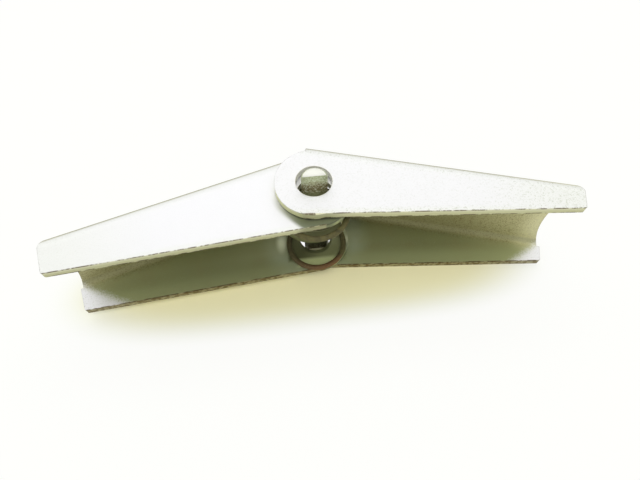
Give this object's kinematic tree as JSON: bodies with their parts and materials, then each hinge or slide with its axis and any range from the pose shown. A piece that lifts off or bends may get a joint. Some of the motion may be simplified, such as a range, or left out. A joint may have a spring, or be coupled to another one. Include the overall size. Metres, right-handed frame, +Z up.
{
  "type": "spring toggle wing nut",
  "caption": "Zinc-plated spring toggle with folded channel wings on a trunnion nut, sprung open, with light rust on the spring and nut",
  "frame": {"origin": "the centre of the tapped hole, where the bolt axis meets the hinge axis, half way up the wings", "axes": "+X runs out along the outer wing, +Y runs away from the bolt head to the webs, +Z runs up the hinge axis"},
  "size_m": [0.0701, 0.0156, 0.018],
  "materials": {
    "zinc_sheet": "dull zinc plate with a faint yellow-green tint and grain",
    "nut_steel": "brown-grey plated nut, dulled and lightly rusted",
    "rusty_wire": "spring wire under a thin coat of red-brown rust"
  },
  "bodies": {
    "nut": {"trunnion_nut": "nut_steel", "torsion_spring": "rusty_wire"},
    "outer": {"outer_wing": "zinc_sheet"},
    "inner": {"inner_wing": "zinc_sheet"}
  },
  "joints": [
    {"name": "outer_fold", "type": "hinge", "parent": "nut", "child": "outer", "pos_m": [0, 0, 0], "axis": [0, 0, -1], "range_deg": [0, 74], "stiffness_Nm_per_rad": 0.02, "springref_deg": -20.05, "deforming": ["torsion_spring"]},
    {"name": "inner_fold", "type": "hinge", "parent": "nut", "child": "inner", "pos_m": [0, -0.0011, 0], "axis": [0, 0, 1], "range_deg": [0, 74], "stiffness_Nm_per_rad": 0.02, "springref_deg": -20.05, "deforming": ["torsion_spring"]}
  ]
}
